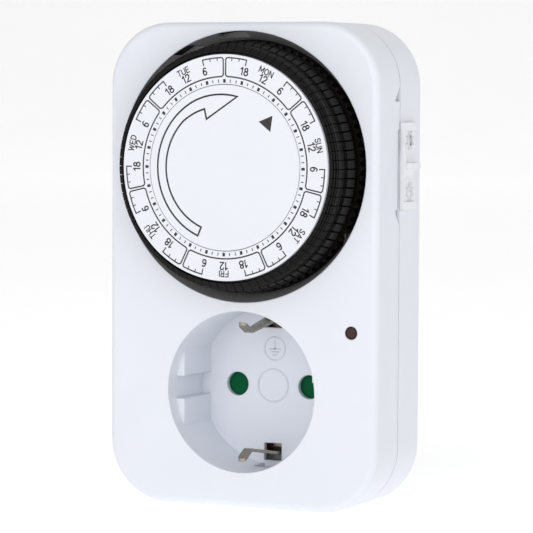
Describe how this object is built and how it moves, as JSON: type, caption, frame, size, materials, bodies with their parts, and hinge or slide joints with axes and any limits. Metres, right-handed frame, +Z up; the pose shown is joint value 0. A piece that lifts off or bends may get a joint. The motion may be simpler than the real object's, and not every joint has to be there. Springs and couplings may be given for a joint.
{
  "type": "plug-in timer switch",
  "caption": "Plug-in mechanical weekly timer switch: rounded white housing, turning dial with press tappets, recessed earthed socket in front, two-pin plug behind, side override slider.",
  "frame": {"origin": "centre of the plug's flat end face, midway between the two plug pins", "axes": "+X to the right seen from the front, +Y back into the wall socket along the plug pins, +Z up"},
  "size_m": [0.0721, 0.0717, 0.1145],
  "materials": {
    "front_shell": "satin white moulded plastic",
    "rear_shell": "satin white moulded plastic",
    "housing_screws": "zinc plated steel",
    "dial_well_liner": "dark grey moulded plastic",
    "mechanism_plate": "black moulded plastic",
    "centre_post": "turned steel",
    "thrust_washer": "turned brass",
    "centre_cap": "white printed plastic",
    "gear_bridge": "pressed steel",
    "bridge_pillars": "turned brass",
    "bridge_screws": "zinc plated steel",
    "motor_front_plate": "pressed steel",
    "motor_can": "pressed steel",
    "motor_bobbin": "natural nylon",
    "motor_winding": "enamelled copper wire",
    "motor_rotor": "ferrite magnet",
    "motor_shaft": "turned steel",
    "motor_pinion": "cut brass",
    "arbor_pinion": "cut brass",
    "arbor_wheel": "natural acetal",
    "reduction_arbor": "turned steel",
    "drive_gear": "black moulded plastic",
    "scale_ring": "white printed plastic",
    "tappet_drum": "black moulded plastic",
    "dial_flange": "black moulded plastic",
    "trip_lever": "natural acetal",
    "lever_pin": "turned steel",
    "moving_contact": "spring bronze",
    "fixed_contact": "spring bronze",
    "switch_block": "brown thermoset",
    "override_slider": "satin white moulded plastic",
    "detent_spring": "spring steel",
    "shutter": "dark green moulded plastic",
    "shutter_pivot": "moulded plastic",
    "shutter_spring": "spring steel",
    "contact_carrier": "brown thermoset",
    "contact_sleeve_left": "rolled brass",
    "contact_sleeve_right": "rolled brass",
    "neutral_link": "turned brass",
    "earth_strap": "nickel plated strip",
    "plug_pin_left": "nickel plated brass",
    "plug_pin_right": "nickel plated brass",
    "plug_earth_contacts": "nickel plated strip",
    "live_busbar": "brass strip",
    "switched_busbar": "brass strip",
    "indicator_lens": "dark red translucent plastic",
    "indicator_lamp": "glass glow lamp",
    "lamp_board": "resin bonded paper board",
    "lamp_resistor": "lacquered body",
    "tappets_friday": "black moulded plastic",
    "tappets_saturday": "black moulded plastic",
    "tappets_sunday": "black moulded plastic",
    "tappets_monday": "black moulded plastic",
    "tappets_tuesday": "black moulded plastic",
    "tappets_wednesday": "black moulded plastic",
    "tappets_thursday": "black moulded plastic"
  },
  "bodies": {
    "housing": {"front_shell": "front_shell", "rear_shell": "rear_shell", "housing_screws": "housing_screws", "dial_well_liner": "dial_well_liner", "mechanism_plate": "mechanism_plate", "centre_post": "centre_post", "thrust_washer": "thrust_washer", "centre_cap": "centre_cap", "gear_bridge": "gear_bridge", "bridge_pillars": "bridge_pillars", "bridge_screws": "bridge_screws", "motor_front_plate": "motor_front_plate", "motor_can": "motor_can", "motor_bobbin": "motor_bobbin", "motor_winding": "motor_winding", "lever_pin": "lever_pin", "fixed_contact": "fixed_contact", "switch_block": "switch_block", "detent_spring": "detent_spring", "shutter_pivot": "shutter_pivot", "shutter_spring": "shutter_spring", "contact_carrier": "contact_carrier", "contact_sleeve_left": "contact_sleeve_left", "contact_sleeve_right": "contact_sleeve_right", "neutral_link": "neutral_link", "earth_strap": "earth_strap", "plug_pin_left": "plug_pin_left", "plug_pin_right": "plug_pin_right", "plug_earth_contacts": "plug_earth_contacts", "live_busbar": "live_busbar", "switched_busbar": "switched_busbar", "indicator_lens": "indicator_lens", "indicator_lamp": "indicator_lamp", "lamp_board": "lamp_board", "lamp_resistor": "lamp_resistor"},
    "dial": {"scale_ring": "scale_ring", "tappet_drum": "tappet_drum", "dial_flange": "dial_flange", "drive_gear": "drive_gear"},
    "arbor": {"arbor_pinion": "arbor_pinion", "arbor_wheel": "arbor_wheel", "reduction_arbor": "reduction_arbor"},
    "motor_output": {"motor_pinion": "motor_pinion", "motor_shaft": "motor_shaft"},
    "rotor": {"motor_rotor": "motor_rotor"},
    "lever": {"trip_lever": "trip_lever"},
    "contact_blade": {"moving_contact": "moving_contact"},
    "slider": {"override_slider": "override_slider"},
    "shutter_plate": {"shutter": "shutter"},
    "tappets_friday": {"tappets_friday": "tappets_friday"},
    "tappets_saturday": {"tappets_saturday": "tappets_saturday"},
    "tappets_sunday": {"tappets_sunday": "tappets_sunday"},
    "tappets_monday": {"tappets_monday": "tappets_monday"},
    "tappets_tuesday": {"tappets_tuesday": "tappets_tuesday"},
    "tappets_wednesday": {"tappets_wednesday": "tappets_wednesday"},
    "tappets_thursday": {"tappets_thursday": "tappets_thursday"}
  },
  "joints": [
    {"name": "dial_turn", "type": "hinge", "parent": "housing", "child": "dial", "pos_m": [0, -0.0435, 0.0531], "axis": [0, 1, 0], "continuous": true},
    {"name": "arbor_turn", "type": "hinge", "parent": "housing", "child": "arbor", "pos_m": [-0.01754, -0.0355, 0.04297], "axis": [0, 1, 0], "continuous": true},
    {"name": "motor_output_turn", "type": "hinge", "parent": "housing", "child": "motor_output", "pos_m": [-0.00671, -0.0315, 0.04922], "axis": [0, 1, 0], "continuous": true},
    {"name": "rotor_turn", "type": "hinge", "parent": "housing", "child": "rotor", "pos_m": [0.005, -0.0245, 0.0571], "axis": [0, 1, 0], "continuous": true},
    {"name": "lever_tilt", "type": "hinge", "parent": "housing", "child": "lever", "pos_m": [0.02445, -0.0329, 0.03], "axis": [-1, 0, 0], "range_deg": [0, 8], "stiffness_Nm_per_rad": 0.01, "springref_deg": -11.46},
    {"name": "blade_flex", "type": "hinge", "parent": "housing", "child": "contact_blade", "pos_m": [0.024, -0.03505, 0.0078], "axis": [1, 0, 0], "range_deg": [0, 8]},
    {"name": "override_slide", "type": "slide", "parent": "housing", "child": "slider", "axis": [0, 0, 1], "range_m": [0, 0.005]},
    {"name": "shutter_turn", "type": "hinge", "parent": "housing", "child": "shutter_plate", "pos_m": [0, -0.02285, 0], "axis": [0, 1, 0], "range_deg": [0, 45], "stiffness_Nm_per_rad": 0.002, "springref_deg": -11.46},
    {"name": "friday_press", "type": "slide", "parent": "dial", "child": "tappets_friday", "axis": [0, 1, 0], "range_m": [0, 0.002]},
    {"name": "saturday_press", "type": "slide", "parent": "dial", "child": "tappets_saturday", "axis": [0, 1, 0], "range_m": [0, 0.002]},
    {"name": "sunday_press", "type": "slide", "parent": "dial", "child": "tappets_sunday", "axis": [0, 1, 0], "range_m": [0, 0.002]},
    {"name": "monday_press", "type": "slide", "parent": "dial", "child": "tappets_monday", "axis": [0, 1, 0], "range_m": [0, 0.002]},
    {"name": "tuesday_press", "type": "slide", "parent": "dial", "child": "tappets_tuesday", "axis": [0, 1, 0], "range_m": [0, 0.002]},
    {"name": "wednesday_press", "type": "slide", "parent": "dial", "child": "tappets_wednesday", "axis": [0, 1, 0], "range_m": [0, 0.002]},
    {"name": "thursday_press", "type": "slide", "parent": "dial", "child": "tappets_thursday", "axis": [0, 1, 0], "range_m": [0, 0.002]}
  ],
  "couplings": [
    {"joint": "arbor_turn", "follows": "dial_turn", "ratio": -8},
    {"joint": "motor_output_turn", "follows": "dial_turn", "ratio": 32},
    {"joint": "blade_flex", "follows": "lever_tilt", "ratio": 0.97}
  ]
}
